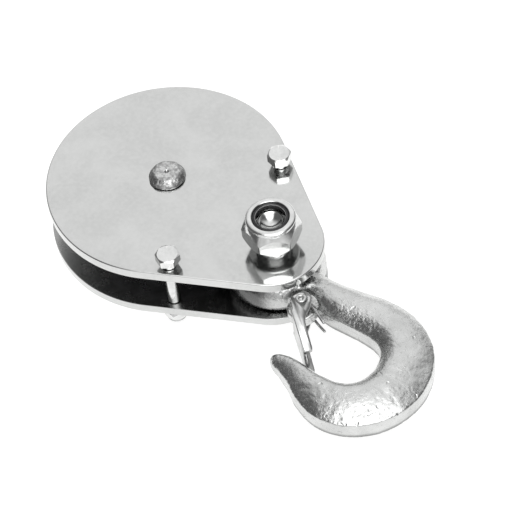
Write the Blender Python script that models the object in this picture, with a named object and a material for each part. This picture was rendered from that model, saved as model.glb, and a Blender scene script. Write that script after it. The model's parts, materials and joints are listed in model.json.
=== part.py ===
"""Rope block with one sheave, two teardrop cheek plates and a latched eye hook.

Units are metres. +Z runs through the cheek plates and +X runs from the sheave axle to the hook bolt.
The origin is under the middle of the block, level with the underside of the hook bolt's head.
"""

import math

import bmesh
import bpy
from mathutils import Vector

MM = 0.001
GAP = 0.3 * MM

# Places along X.
SHEAVE_X = -43.0 * MM
HOOK_BOLT_X = SHEAVE_X + 52.25 * MM
NOSE_X = SHEAVE_X + 50.17 * MM
GUARD_X = SHEAVE_X + 28.8 * MM
GUARD_Y = 30.0 * MM

# Cheek plates, stacked upwards from the hook bolt's head.
CHEEK_RADIUS = 45.0 * MM
NOSE_RADIUS = 19.8 * MM
CHEEK_THICKNESS = 3.8 * MM
CHEEK_SPACE = 15.6 * MM
LOWER_CHEEK_Z = 7.5 * MM
LOWER_FACE_Z = LOWER_CHEEK_Z + CHEEK_THICKNESS
UPPER_CHEEK_Z = LOWER_FACE_Z + CHEEK_SPACE
TOP_Z = UPPER_CHEEK_Z + CHEEK_THICKNESS
MID_Z = LOWER_FACE_Z + CHEEK_SPACE / 2

# Sheave, axle and the 12 x 28 x 8 ball bearing.
AXLE_RADIUS = 6.0 * MM
AXLE_HEAD_RADIUS = 6.75 * MM
AXLE_HEAD_HEIGHT = 3.0 * MM
SHEAVE_RADIUS = 32.0 * MM
SHEAVE_HALF_WIDTH = 6.0 * MM
ROPE_LINE_RADIUS = 28.6 * MM
GROOVE_RADIUS = 3.2 * MM
BEARING_RADIUS = 14.0 * MM
BEARING_HALF_WIDTH = 4.0 * MM
BALL_RADIUS = 2.38 * MM
BALL_CIRCLE_RADIUS = 10.2 * MM
BALL_COUNT = 7
SPACER_RADIUS = 8.2 * MM

# Hook bolt (M12) and guard bolts (M5).
BUSH_RADIUS = 9.0 * MM
NUT_STANDOFF = 4.3 * MM
GUARD_STANDOFF = 2.8 * MM

# Load hook, in its own frame: u runs from the eye to the bowl, v towards the hook's back.
HOOK_ANGLE = math.radians(-17.3)
EYE_RADIUS = 18.2 * MM
EYE_BORE_RADIUS = 9.5 * MM
EYE_HALF_DEPTH = 6.5 * MM
LATCH_PIVOT = Vector((23.1 * MM, -3.0 * MM, 0.0))
LUG_RADIUS = 5.4 * MM
LUG_HALF_DEPTH = 2.5 * MM
POCKET_RADIUS = 6.4 * MM
WALL_SHARE = 0.457

# Latch, in a frame whose origin is its pivot.
LATCH_HALF_DEPTH = 7.0 * MM
SHEET = 1.2 * MM
PIN_RADIUS = 1.4 * MM
WIRE_RADIUS = 0.5 * MM
COIL_RADIUS = 2.6 * MM

ZINC = ((0.62, 0.63, 0.62), 1.0, 0.28)
CAST_ZINC = ((0.55, 0.56, 0.55), 1.0, 0.42)
DARK_STEEL = ((0.16, 0.16, 0.17), 0.9, 0.45)
BEARING_STEEL = ((0.60, 0.61, 0.63), 1.0, 0.18)
SPRING_STEEL = ((0.35, 0.35, 0.36), 1.0, 0.35)
NYLON = ((0.02, 0.02, 0.022), 0.0, 0.5)


def clear_scene():
    for obj in list(bpy.data.objects):
        bpy.data.objects.remove(obj, do_unlink=True)


def set_material(obj, finish):
    colour, metallic, roughness = finish
    material = bpy.data.materials.new(obj.name)
    material.use_nodes = True
    shader = material.node_tree.nodes["Principled BSDF"]
    shader.inputs["Base Color"].default_value = (*colour, 1.0)
    shader.inputs["Metallic"].default_value = metallic
    shader.inputs["Roughness"].default_value = roughness
    obj.data.materials.append(material)


def add_empty(name, location, parent=None, turn=0.0):
    empty = bpy.data.objects.new(name, None)
    empty.location = location
    empty.rotation_euler = (0.0, 0.0, turn)
    empty.parent = parent
    bpy.context.collection.objects.link(empty)
    return empty


def add_object(name, shape, parent, location=(0.0, 0.0, 0.0), finish=None):
    """Turns a bmesh into a smooth-shaded object. Without a finish it is a helper that isn't rendered."""
    bmesh.ops.recalc_face_normals(shape, faces=shape.faces)
    mesh = bpy.data.meshes.new(name)
    shape.to_mesh(mesh)
    shape.free()
    mesh.shade_smooth()
    mesh.set_sharp_from_angle(angle=math.radians(35))
    obj = bpy.data.objects.new(name, mesh)
    obj.location = location
    obj.parent = parent
    bpy.context.collection.objects.link(obj)
    if finish:
        set_material(obj, finish)
    else:
        obj.hide_render = True
        obj.display_type = "WIRE"
    return obj


def add_boolean(obj, operation, helper):
    modifier = obj.modifiers.new(helper.name, "BOOLEAN")
    modifier.operation = operation
    modifier.solver = "EXACT"
    modifier.object = helper


def arc(centre, radius, start, end, steps):
    """Points on an arc in degrees, both ends included."""
    angles = [math.radians(start + (end - start) * i / steps) for i in range(steps + 1)]
    return [(centre[0] + radius * math.cos(a), centre[1] + radius * math.sin(a)) for a in angles]


def prism(outlines):
    """A bmesh with one straight prism for each (outline, low z, high z)."""
    shape = bmesh.new()
    for outline, low, high in outlines:
        below = [shape.verts.new((x, y, low)) for x, y in outline]
        above = [shape.verts.new((x, y, high)) for x, y in outline]
        shape.faces.new(below[::-1])
        shape.faces.new(above)
        for i, corner in enumerate(below):
            j = (i + 1) % len(below)
            shape.faces.new((corner, below[j], above[j], above[i]))
    return shape


def turned(profile, steps):
    """A bmesh swept round Z from a closed (radius, z) profile, whose points may lie on the axis."""
    shape = bmesh.new()
    turns = [2 * math.pi * i / steps for i in range(steps)]
    columns = []
    for radius, z in profile:
        if radius == 0:
            columns.append([shape.verts.new((0, 0, z))] * steps)
        else:
            columns.append([shape.verts.new((radius * math.cos(a), radius * math.sin(a), z)) for a in turns])
    for k, column in enumerate(columns):
        following = columns[(k + 1) % len(columns)]
        for i in range(steps):
            j = (i + 1) % steps
            corners = list(dict.fromkeys((column[i], column[j], following[j], following[i])))
            if len(corners) > 2:
                shape.faces.new(corners)
    return shape


def lofted(sections):
    """A bmesh skinned over rings of points that all have the same length, closed by a face at each end."""
    shape = bmesh.new()
    rings = [[shape.verts.new(point) for point in section] for section in sections]
    for ring, following in zip(rings, rings[1:]):
        for i, corner in enumerate(ring):
            j = (i + 1) % len(ring)
            shape.faces.new((corner, ring[j], following[j], following[i]))
    shape.faces.new(rings[0][::-1])
    shape.faces.new(rings[-1])
    return shape


def smooth_path(points, steps):
    """Catmull-Rom curve through points of any number of values, with steps spans between neighbours."""
    points = [Vector(point) for point in points]
    padded = [2 * points[0] - points[1], *points, 2 * points[-1] - points[-2]]
    curve = []
    for a, b, c, d in zip(padded, padded[1:], padded[2:], padded[3:]):
        for i in range(steps):
            t = i / steps
            curve.append(0.5 * (2 * b + (c - a) * t + (2 * a - 5 * b + 4 * c - d) * t**2
                                + (3 * b - a - 3 * c + d) * t**3))
    return [*curve, points[-1]]


def hexagon(across_flats, turn=0.0):
    radius = across_flats / math.sqrt(3)
    return arc((0.0, 0.0), radius, turn, turn + 300, 5)


def add_hex_bolt(name, size, across_flats, head, length, location, parent, pointing, turn=0.0):
    """A bolt whose head's bearing face is at its origin. pointing is +1 for a shank that runs up +Z."""
    head_shape = prism([(hexagon(across_flats, turn), -head, 0.0)])
    bolt = add_object(name, head_shape, parent, location, ZINC)
    tip = 0.82 * size / 2
    profile = [(0.0, -head / 2), (size / 2, -head / 2), (size / 2, length - 2.4 * MM)]
    profile += [(tip, length - 1.4 * MM), (tip, length), (0.0, length)]
    shank = add_object(name + "_shank", turned(profile, 24), bolt)
    add_boolean(bolt, "UNION", shank)
    if pointing < 0:
        bolt.rotation_euler = (math.pi, 0.0, 0.0)
    return bolt


def add_lock_nut(name, size, across_flats, height, location, parent, pointing, turn=0.0):
    """A hexagon nut with a round crown that holds a nylon ring. The seat is at its origin."""
    hex_height = 0.66 * height
    crown = 0.465 * across_flats
    ring = 0.36 * across_flats
    bore = size / 2 + GAP
    nut = add_object(name, prism([(hexagon(across_flats, turn), 0.0, hex_height)]), parent, location, ZINC)
    crown_profile = [(0.0, hex_height / 2), (crown, hex_height / 2), (crown, 0.86 * height)]
    crown_profile += [(0.93 * crown, 0.96 * height), (0.84 * crown, height), (0.0, height)]
    crown_shape = add_object(name + "_crown", turned(crown_profile, 32), nut)
    add_boolean(nut, "UNION", crown_shape)
    floor = 0.72 * height
    hole_profile = [(0.0, -height), (bore, -height), (bore, floor), (ring, floor)]
    hole_profile += [(ring, 2 * height), (0.0, 2 * height)]
    hole = add_object(name + "_hole", turned(hole_profile, 32), nut)
    add_boolean(nut, "DIFFERENCE", hole)
    ring_profile = [(0.82 * size / 2 + GAP, floor + GAP), (ring - GAP / 2, floor + GAP)]
    ring_profile += [(ring - GAP / 2, 0.95 * height), (0.82 * size / 2 + GAP, 0.95 * height)]
    insert = add_object(name + "_insert", turned(ring_profile, 32), parent, location, NYLON)
    if pointing < 0:
        nut.rotation_euler = (math.pi, 0.0, 0.0)
        insert.rotation_euler = (math.pi, 0.0, 0.0)


def cheek_outline():
    """Teardrop: the large arc round the sheave axle and the small nose arc, joined by their tangents."""
    tangent = math.degrees(math.acos((CHEEK_RADIUS - NOSE_RADIUS) / (NOSE_X - SHEAVE_X)))
    body = arc((SHEAVE_X, 0.0), CHEEK_RADIUS, tangent, 360 - tangent, 44)
    nose = arc((NOSE_X, 0.0), NOSE_RADIUS, -tangent, tangent, 16)
    return body + nose


def add_cheeks(root):
    holes = [(SHEAVE_X, 0.0, AXLE_RADIUS), (HOOK_BOLT_X, 0.0, 6.0 * MM)]
    holes += [(GUARD_X, side * GUARD_Y, 2.5 * MM) for side in (-1, 1)]
    for name, low in (("lower_cheek_plate", LOWER_CHEEK_Z), ("upper_cheek_plate", UPPER_CHEEK_Z)):
        cheek = add_object(name, prism([(cheek_outline(), low, low + CHEEK_THICKNESS)]), root, finish=ZINC)
        drills = []
        for x, y, radius in holes:
            rim = arc((x, y), radius + GAP, 0, 345, 23)
            drills.append((rim, low - CHEEK_THICKNESS, low + 2 * CHEEK_THICKNESS))
        add_boolean(cheek, "DIFFERENCE", add_object(name + "_drills", prism(drills), root))


def add_axle(root):
    """Riveted axle: a shank through both cheeks with a shallow peened head on each end."""
    half = TOP_Z - MID_Z + GAP
    end = half + AXLE_HEAD_HEIGHT
    side = [(AXLE_RADIUS, half), (AXLE_HEAD_RADIUS, half), (AXLE_HEAD_RADIUS, half + 1.3 * MM)]
    side += [(6.1 * MM, half + 2.4 * MM), (4.7 * MM, end), (1.0 * MM, end), (0.0, end - 0.5 * MM)]
    profile = [(r, -z) for r, z in side[::-1]] + side
    add_object("sheave_axle", turned(profile, 32), root, (SHEAVE_X, 0.0, MID_Z), ZINC)


def ring_profile(inner, outer, low, high):
    return [(inner, low), (outer, low), (outer, high), (inner, high)]


def add_spacers(root):
    """Spacer rings that centre the sheave, and the bush that carries the hook's eye."""
    near = BEARING_HALF_WIDTH + GAP
    far = CHEEK_SPACE / 2 - GAP
    for name, low, high in (("axle_spacer_lower", -far, -near), ("axle_spacer_upper", near, far)):
        shape = turned(ring_profile(AXLE_RADIUS + GAP, SPACER_RADIUS, low, high), 32)
        add_object(name, shape, root, (SHEAVE_X, 0.0, MID_Z), DARK_STEEL)
    bush = turned(ring_profile(6.0 * MM + GAP, BUSH_RADIUS, -far, far), 32)
    add_object("hook_bush", bush, root, (HOOK_BOLT_X, 0.0, MID_Z), DARK_STEEL)


def add_sheave(pivot):
    """Grooved wheel, turned round its axis, with a seat for the bearing and a slot for the retaining ring."""
    half = SHEAVE_HALF_WIDTH
    web = half - 1.5 * MM
    seat = BEARING_RADIUS + GAP
    slot = seat + 0.9 * MM
    shoulder = -BEARING_HALF_WIDTH - GAP
    slot_low = BEARING_HALF_WIDTH + GAP
    slot_high = slot_low + 1.2 * MM
    flare = 4.9 * MM
    groove = [(ROPE_LINE_RADIUS - z, r) for r, z in arc((0.0, 0.0), GROOVE_RADIUS, 160, 20, 8)]
    profile = [(12.6 * MM, -half), (18.5 * MM, -half), (20.0 * MM, -web), (23.5 * MM, -web)]
    profile += [(25.0 * MM, -half), (SHEAVE_RADIUS, -half), (SHEAVE_RADIUS, -flare)]
    profile += groove
    profile += [(SHEAVE_RADIUS, flare), (SHEAVE_RADIUS, half), (25.0 * MM, half)]
    profile += [(23.5 * MM, web), (20.0 * MM, web), (18.5 * MM, half), (seat, half)]
    profile += [(seat, slot_high), (slot, slot_high), (slot, slot_low), (seat, slot_low)]
    profile += [(seat, shoulder), (12.6 * MM, shoulder)]
    add_object("sheave", turned(profile, 48), pivot, finish=DARK_STEEL)


def add_retaining_ring(pivot):
    """Open spring ring that holds the bearing in the sheave."""
    inner = arc((0.0, 0.0), 12.6 * MM, 20, 340, 24)
    outer = arc((0.0, 0.0), BEARING_RADIUS + 0.9 * MM, 340, 20, 24)
    low = BEARING_HALF_WIDTH + 2 * GAP
    add_object("bearing_retaining_ring", prism([(inner + outer, low, low + 0.8 * MM)]), pivot, finish=SPRING_STEEL)


def race_profile(wall, land, side):
    """Section of one race: a flat wall, and a land with the ball track cut in it. side is +1 where the
    track faces outwards."""
    half = BEARING_HALF_WIDTH
    track = BALL_RADIUS + GAP
    reach = abs(land - BALL_CIRCLE_RADIUS)
    half_angle = math.degrees(math.acos(reach / track))
    middle = 180 if side > 0 else 0
    points = arc((BALL_CIRCLE_RADIUS, 0.0), track, middle + half_angle, middle - half_angle, 6)
    if points[0][1] > points[-1][1]:
        points = points[::-1]
    return [(wall, -half), (land, -half), *points, (land, half), (wall, half)]


def add_bearing(root, sheave_pivot, cage_pivot):
    axle = (SHEAVE_X, 0.0, MID_Z)
    inner = turned(race_profile(AXLE_RADIUS + GAP, 8.4 * MM, 1), 32)
    add_object("bearing_inner_race", inner, root, axle, BEARING_STEEL)
    outer = turned(race_profile(BEARING_RADIUS, 12.0 * MM, -1), 32)
    add_object("bearing_outer_race", outer, sheave_pivot, finish=BEARING_STEEL)
    for name, side in (("bearing_shield_lower", -1), ("bearing_shield_upper", 1)):
        low, high = sorted((side * 3.35 * MM, side * 3.85 * MM))
        shield = turned(ring_profile(8.8 * MM, 11.7 * MM, low, high), 32)
        add_object(name, shield, sheave_pivot, finish=BEARING_STEEL)

    cage_half = 3.0 * MM
    cage = add_object("bearing_cage", turned(ring_profile(9.4 * MM, 11.0 * MM, -cage_half, cage_half), 28),
                      cage_pivot, finish=SPRING_STEEL)
    for i in range(BALL_COUNT):
        turn = 2 * math.pi * i / BALL_COUNT
        place = (BALL_CIRCLE_RADIUS * math.cos(turn), BALL_CIRCLE_RADIUS * math.sin(turn), 0.0)
        ball = bmesh.new()
        bmesh.ops.create_icosphere(ball, subdivisions=2, radius=BALL_RADIUS)
        add_object(f"bearing_ball_{i + 1}", ball, cage_pivot, place, BEARING_STEEL)
        pocket = bmesh.new()
        bmesh.ops.create_uvsphere(pocket, u_segments=12, v_segments=8, radius=BALL_RADIUS + GAP)
        pocket_cutter = add_object(f"bearing_pocket_{i + 1}", pocket, cage_pivot, place)
        add_boolean(cage, "DIFFERENCE", pocket_cutter)


def add_fasteners(root):
    """Hook bolt with its lock nut on top, and two guard bolts with their lock nuts underneath."""
    hook_head_z = LOWER_CHEEK_Z - GAP
    nut_z = TOP_Z + NUT_STANDOFF
    nut_height = 12.0 * MM
    bolt_length = nut_z + nut_height - 2.6 * MM - hook_head_z
    place = (HOOK_BOLT_X, 0.0, hook_head_z)
    add_hex_bolt("hook_bolt", 12 * MM, 19 * MM, 7.2 * MM, bolt_length, place, root, 1)
    nut_place = (HOOK_BOLT_X, 0.0, nut_z)
    add_lock_nut("hook_nut", 12 * MM, 19 * MM, nut_height, nut_place, root, 1, turn=-12.4)
    for side_name, side, turn in (("right", -1, -12.0), ("left", 1, -8.0)):
        head_z = TOP_Z + GUARD_STANDOFF
        nut_z = LOWER_CHEEK_Z - GAP
        length = head_z - nut_z + 4.3 * MM
        head_place = (GUARD_X, side * GUARD_Y, head_z)
        name = "guard_bolt_" + side_name
        add_hex_bolt(name, 5 * MM, 8 * MM, 3.6 * MM, length, head_place, root, -1, turn=-turn)
        nut_place = (GUARD_X, side * GUARD_Y, nut_z)
        add_lock_nut("guard_nut_" + side_name, 5 * MM, 8 * MM, 5.0 * MM, nut_place, root, -1)


def hook_sections():
    """Sections along the hook's spine, each with upright side walls and a crowned face above and below.
    A station is u, v, half width and half depth in millimetres."""
    stations = [
        (14.0, 3.6, 6.2, 5.8), (21.0, 6.0, 6.2, 6.2), (28.5, 8.6, 7.1, 6.8), (34.8, 11.9, 7.7, 7.0),
        (41.5, 15.4, 8.3, 7.0), (48.6, 18.1, 8.6, 7.0), (55.3, 18.5, 8.8, 7.0), (61.7, 16.6, 9.3, 7.0),
        (67.1, 12.2, 9.6, 7.0), (71.0, 6.1, 9.8, 7.0), (72.5, -1.0, 9.7, 7.0), (71.5, -7.7, 9.4, 7.0),
        (68.1, -13.6, 9.0, 7.0), (62.5, -17.6, 8.1, 7.0), (55.6, -19.5, 6.5, 6.7), (49.0, -19.9, 4.9, 6.0),
        (43.0, -20.7, 3.9, 5.0), (38.6, -22.0, 2.9, 3.9), (36.4, -22.6, 1.9, 2.8), (35.3, -22.9, 0.9, 1.5),
    ]
    curve = smooth_path(stations, 2)
    crown = [(s, 1 - s**2.4) for s in (1.0, 0.82, 0.5, 0.0)]
    upper = crown + [(-s, rise) for s, rise in crown[-2::-1]]
    sections = []
    for k, (u, v, half_width, half_depth) in enumerate(curve):
        before = curve[max(k - 1, 0)]
        after = curve[min(k + 1, len(curve) - 1)]
        across = Vector((before[1] - after[1], after[0] - before[0])).normalized()
        wall = WALL_SHARE * half_depth
        profile = [(s * half_width, wall + (half_depth - wall) * rise) for s, rise in upper]
        profile += [(side, -height) for side, height in profile[::-1]]
        ring = [((u + across.x * side) * MM, (v + across.y * side) * MM, height * MM) for side, height in profile]
        sections.append(ring)
    return sections


def add_hook(pivot):
    """Forged hook: bowl and shank, eye, and the thin lug that the latch turns on, cut out as one piece."""
    hook = add_object("hook", lofted(hook_sections()), pivot, finish=CAST_ZINC)
    rim = arc((EYE_RADIUS - 5.2 * MM, 0.0), 1.0, -66, 66, 6)
    eye_side = [(EYE_RADIUS - 5.2 * MM + 5.2 * MM * (x - EYE_RADIUS + 5.2 * MM), EYE_HALF_DEPTH * y) for x, y in rim]
    eye_profile = [(8.0 * MM, eye_side[0][1]), *eye_side, (8.0 * MM, eye_side[-1][1])]
    add_boolean(hook, "UNION", add_object("hook_eye", turned(eye_profile, 40), pivot))
    sunk = -LUG_HALF_DEPTH + GAP
    for side, start in (("under", -1), ("over", 1)):
        low, high = sorted((start * LUG_HALF_DEPTH, start * 12 * MM))
        pocket = prism([(arc(LATCH_PIVOT, POCKET_RADIUS, 0, 345, 23), low, high)])
        add_boolean(hook, "DIFFERENCE", add_object("hook_pocket_" + side, pocket, pivot))
    lug = prism([(arc(LATCH_PIVOT, LUG_RADIUS, 0, 345, 23), sunk, -sunk)])
    add_boolean(hook, "UNION", add_object("hook_lug", lug, pivot))
    bores = [(arc((0.0, 0.0), EYE_BORE_RADIUS, 0, 348.75, 31), -12 * MM, 12 * MM)]
    bores += [(arc(LATCH_PIVOT, PIN_RADIUS + GAP, 0, 330, 11), -12 * MM, 12 * MM)]
    add_boolean(hook, "DIFFERENCE", add_object("hook_bores", prism(bores), pivot))


def add_latch(pivot):
    """Channel pressed from sheet: two flanges on the pin, a web on the throat side and a tongue."""
    inside = LATCH_HALF_DEPTH - SHEET
    upper_ear = arc((0.0, 0.0), 3.7 * MM, 234, 50, 12)
    upper_ear += [(x * MM, y * MM) for x, y in ((5.1, 0.4), (6.2, -1.6))]
    lower_ear = arc((0.0, 0.0), 2.8 * MM, 234, 50, 12)
    lower_ear += [(x * MM, y * MM) for x, y in ((3.6, 0.2), (5.0, -1.3))]
    blade = [(x * MM, y * MM) for x, y in ((9.2, -3.9), (13.0, -5.4), (21.3, -8.3), (20.5, -11.4), (3.6, -6.1))]
    upper = prism([(upper_ear + blade, inside, LATCH_HALF_DEPTH)])
    lower = prism([(lower_ear + blade, -LATCH_HALF_DEPTH, -inside)])
    latch = add_object("latch", upper, pivot, finish=ZINC)
    add_boolean(latch, "UNION", add_object("latch_lower_flange", lower, pivot))

    web_ends = [Vector((3.6, -6.1)) * MM, Vector((20.5, -11.4)) * MM]
    along = (web_ends[1] - web_ends[0]).normalized()
    inward = Vector((-along.y, along.x)) * SHEET
    web_outline = [web_ends[0], web_ends[1], web_ends[1] + inward, web_ends[0] + inward]
    half = LATCH_HALF_DEPTH - SHEET / 2
    web = add_object("latch_web", prism([([(p.x, p.y) for p in web_outline], -half, half)]), pivot)
    add_boolean(latch, "UNION", web)

    sections = []
    for reach, half in ((-1.2 * MM, 5.6 * MM), (1.0 * MM, 5.2 * MM), (3.3 * MM, 3.6 * MM)):
        outer = web_ends[1] + along * reach + inward * 0.05
        inner = outer + inward * 0.9
        sections.append([(*outer, -half), (*outer, half), (*inner, half), (*inner, -half)])
    add_boolean(latch, "UNION", add_object("latch_tongue", lofted(sections), pivot))

    pin_hole = [(arc((0.0, 0.0), PIN_RADIUS + GAP, 0, 337.5, 15), -12 * MM, 12 * MM)]
    add_boolean(latch, "DIFFERENCE", add_object("latch_pin_hole", prism(pin_hole), pivot))


def add_latch_pin(pivot):
    """Hollow rivet: a shank with a rolled head on each end."""
    under_head = LATCH_HALF_DEPTH + GAP
    side = [(PIN_RADIUS, under_head), (1.9 * MM, under_head), (1.9 * MM, under_head + 0.25 * MM)]
    side += [(1.5 * MM, under_head + 0.5 * MM), (0.8 * MM, under_head + 0.4 * MM), (0.6 * MM, under_head - 0.9 * MM)]
    side += [(0.0, under_head - 0.9 * MM)]
    profile = [(r, -z) for r, z in side[::-1]] + side
    add_object("latch_pin", turned(profile, 20), pivot, LATCH_PIVOT, ZINC)


def spring_path():
    """Half of the spring wire, from the bridge's middle round one coil to the leg by the shank."""
    first_z = 4.95 * MM
    last_z = 3.3 * MM
    leg_z = 2.5 * MM
    points = [Vector((7.1 * MM, -4.9 * MM, z)) for z in (0.0, 2.2 * MM, 4.0 * MM)]
    points.append(Vector((6.0 * MM, -4.4 * MM, first_z)))
    turns = 18
    for i in range(turns + 1):
        angle = math.radians(-75 - 555 * i / turns)
        z = first_z + (last_z - first_z) * i / turns
        points.append(Vector((COIL_RADIUS * math.cos(angle), COIL_RADIUS * math.sin(angle), z)))
    points += [Vector((6.0 * MM, 2.6 * MM, last_z)), Vector((10.5 * MM, 2.6 * MM, leg_z))]
    return points


def add_latch_spring(pivot):
    """Double torsion spring: one wire with a coil on each side of the lug and a bridge behind the latch's web."""
    half = spring_path()
    mirrored = [Vector((p.x, p.y, -p.z)) for p in half[:0:-1]]
    curve = bpy.data.curves.new("latch_spring", "CURVE")
    curve.dimensions = "3D"
    curve.bevel_depth = WIRE_RADIUS
    curve.bevel_resolution = 2
    curve.use_fill_caps = True
    spline = curve.splines.new("POLY")
    points = mirrored + half
    spline.points.add(len(points) - 1)
    for target, point in zip(spline.points, points):
        target.co = (*point, 1.0)
    spring = bpy.data.objects.new("latch_spring", curve)
    spring.location = LATCH_PIVOT
    spring.parent = pivot
    bpy.context.collection.objects.link(spring)
    set_material(spring, SPRING_STEEL)


def main():
    clear_scene()
    root = add_empty("block", (0.0, 0.0, 0.0))
    sheave_pivot = add_empty("sheave_pivot", (SHEAVE_X, 0.0, MID_Z), root)
    cage_pivot = add_empty("cage_pivot", (SHEAVE_X, 0.0, MID_Z), root)
    hook_pivot = add_empty("hook_pivot", (HOOK_BOLT_X, 0.0, MID_Z), root, HOOK_ANGLE)
    latch_pivot = add_empty("latch_pivot", LATCH_PIVOT, hook_pivot)
    add_cheeks(root)
    add_axle(root)
    add_spacers(root)
    add_sheave(sheave_pivot)
    add_retaining_ring(sheave_pivot)
    add_bearing(root, sheave_pivot, cage_pivot)
    add_fasteners(root)
    add_hook(hook_pivot)
    add_latch(latch_pivot)
    add_latch_pin(hook_pivot)
    add_latch_spring(hook_pivot)


main()
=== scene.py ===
"""Looks of the rope block: fine meshes, plated-metal materials, a pale floor and soft studio light."""

import json
import math

import bmesh
import bpy
from mathutils import Matrix, Vector, noise


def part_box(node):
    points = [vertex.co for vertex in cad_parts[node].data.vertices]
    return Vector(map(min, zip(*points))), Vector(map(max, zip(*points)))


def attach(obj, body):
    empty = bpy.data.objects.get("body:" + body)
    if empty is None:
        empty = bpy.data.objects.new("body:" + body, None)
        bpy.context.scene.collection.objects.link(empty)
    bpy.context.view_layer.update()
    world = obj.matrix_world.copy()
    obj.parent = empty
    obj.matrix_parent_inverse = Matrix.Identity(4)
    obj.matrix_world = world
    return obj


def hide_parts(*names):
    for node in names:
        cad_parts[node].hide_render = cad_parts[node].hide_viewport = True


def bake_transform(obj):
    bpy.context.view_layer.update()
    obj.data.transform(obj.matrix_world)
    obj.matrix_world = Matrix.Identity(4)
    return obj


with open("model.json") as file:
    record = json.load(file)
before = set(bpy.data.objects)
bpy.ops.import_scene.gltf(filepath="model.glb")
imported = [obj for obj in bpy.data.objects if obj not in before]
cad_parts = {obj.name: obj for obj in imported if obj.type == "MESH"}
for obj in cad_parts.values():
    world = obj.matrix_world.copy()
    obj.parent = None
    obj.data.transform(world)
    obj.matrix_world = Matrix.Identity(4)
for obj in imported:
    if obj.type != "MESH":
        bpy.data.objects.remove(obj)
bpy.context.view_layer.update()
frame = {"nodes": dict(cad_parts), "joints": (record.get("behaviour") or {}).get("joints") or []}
MM = 0.001

# Driving dimensions that the frame doesn't hold, as in the CAD model.
NOSE_OFFSET = 50.17 * MM
CHEEK_RADIUS = 45.0 * MM
NOSE_RADIUS = 19.8 * MM
HALF_GAP = 7.8 * MM
HOOK_LOCAL_LATCH = Vector((23.1 * MM, -3.0 * MM, 0.0))
WALL_SHARE = 0.457
PIN_BORE = 1.7 * MM

# How far cutters for through holes reach to each side.
CUT_REACH = 12 * MM

# Camera, in the row frame.
CAMERA_PLACE = Vector((0.45345, -0.41493, 0.76880))
CAMERA_AZIMUTH = 47.59
CAMERA_ELEVATION = 50.71
CAMERA_ROLL = 7.34
CAMERA_LENS = 188.13


def joint_place(name):
    """Where the frame puts a joint."""
    for joint in frame["joints"]:
        if joint["name"] == name:
            return Vector(joint["pos_m"])
    raise KeyError(name)


SHEAVE_CENTRE = joint_place("sheave_spin")
HOOK_CENTRE = joint_place("hook_swing")
LATCH_CENTRE = joint_place("latch_swing")


# ---------------------------------------------------------------- meshes

def arc(centre, radius, start, end, steps):
    """Points on an arc in degrees, both ends included."""
    angles = [math.radians(start + (end - start) * i / steps) for i in range(steps + 1)]
    return [(centre[0] + radius * math.cos(a), centre[1] + radius * math.sin(a)) for a in angles]


def scaled(points):
    """Points in millimetres turned into metres."""
    return [(x * MM, y * MM) for x, y in points]


def hole_rim(centre, radius, corners):
    """Outline of a round hole."""
    return arc(centre, radius, 0, 360 - 360 / corners, corners - 1)


def skin(rows, loop_rows=False, cap_ends=False):
    """A bmesh whose quads join each row of points to the next. Every row is a closed ring."""
    shape = bmesh.new()
    rings = [[shape.verts.new(point) for point in row] for row in rows]
    pairs = list(zip(rings, rings[1:]))
    if loop_rows:
        pairs.append((rings[-1], rings[0]))
    for ring, following in pairs:
        for i, corner in enumerate(ring):
            j = (i + 1) % len(ring)
            shape.faces.new((corner, ring[j], following[j], following[i]))
    if cap_ends:
        shape.faces.new(rings[0][::-1])
        shape.faces.new(rings[-1])
    return shape


def hexagon(across_flats, face_angle):
    """Outline of a hexagon with slightly rounded corners and one flat facing face_angle, in degrees."""
    rounding = 0.05 * across_flats
    reach = (across_flats / 2 - rounding) / math.cos(math.pi / 6)
    outline = []
    for k in range(6):
        corner = face_angle + 30 + 60 * k
        centre = (reach * math.cos(math.radians(corner)), reach * math.sin(math.radians(corner)))
        outline += arc(centre, rounding, corner - 30, corner + 30, 4)
    return outline


def circle(radius, z, steps):
    """Ring of points about Z at one height."""
    return [(radius * math.cos(2 * math.pi * i / steps), radius * math.sin(2 * math.pi * i / steps), z)
            for i in range(steps)]


def revolved(profile, steps=144):
    """A closed (radius, z) profile swept round Z."""
    return skin([circle(radius, z, steps) for radius, z in profile], loop_rows=True)


def rounded(corners, radius, steps=3):
    """A closed profile with soft corners, each given as (r, z) or as (r, z, its own rounding)."""
    straight = math.radians(172)
    points = []
    for k, corner in enumerate(corners):
        here = Vector(corner[:2])
        before = Vector(corners[k - 1][:2]) - here
        after = Vector(corners[(k + 1) % len(corners)][:2]) - here
        size = corner[2] if len(corner) > 2 else radius
        size = min(size, before.length * 0.45, after.length * 0.45)
        if size <= 0 or before.angle(after, math.pi) > straight:
            points.append(tuple(here))
            continue
        start = here + before.normalized() * size
        end = here + after.normalized() * size
        for i in range(steps + 1):
            t = i / steps
            point = start * (1 - t) ** 2 + here * (2 * t * (1 - t)) + end * t**2
            points.append((point.x, point.y))
    return points


def prism(outline, low, high):
    """An outline drawn up from one height to another."""
    below = [(x, y, low) for x, y in outline]
    above = [(x, y, high) for x, y in outline]
    return skin([below, above], cap_ends=True)


def smooth_path(points, steps):
    """Catmull-Rom curve through points of any number of values, with steps spans between neighbours."""
    points = [Vector(point) for point in points]
    padded = [2 * points[0] - points[1], *points, 2 * points[-1] - points[-2]]
    curve = []
    for a, b, c, d in zip(padded, padded[1:], padded[2:], padded[3:]):
        for i in range(steps):
            t = i / steps
            curve.append(0.5 * (2 * b + (c - a) * t + (2 * a - 5 * b + 4 * c - d) * t**2
                                + (3 * b - a - 3 * c + d) * t**3))
    return [*curve, points[-1]]


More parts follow.
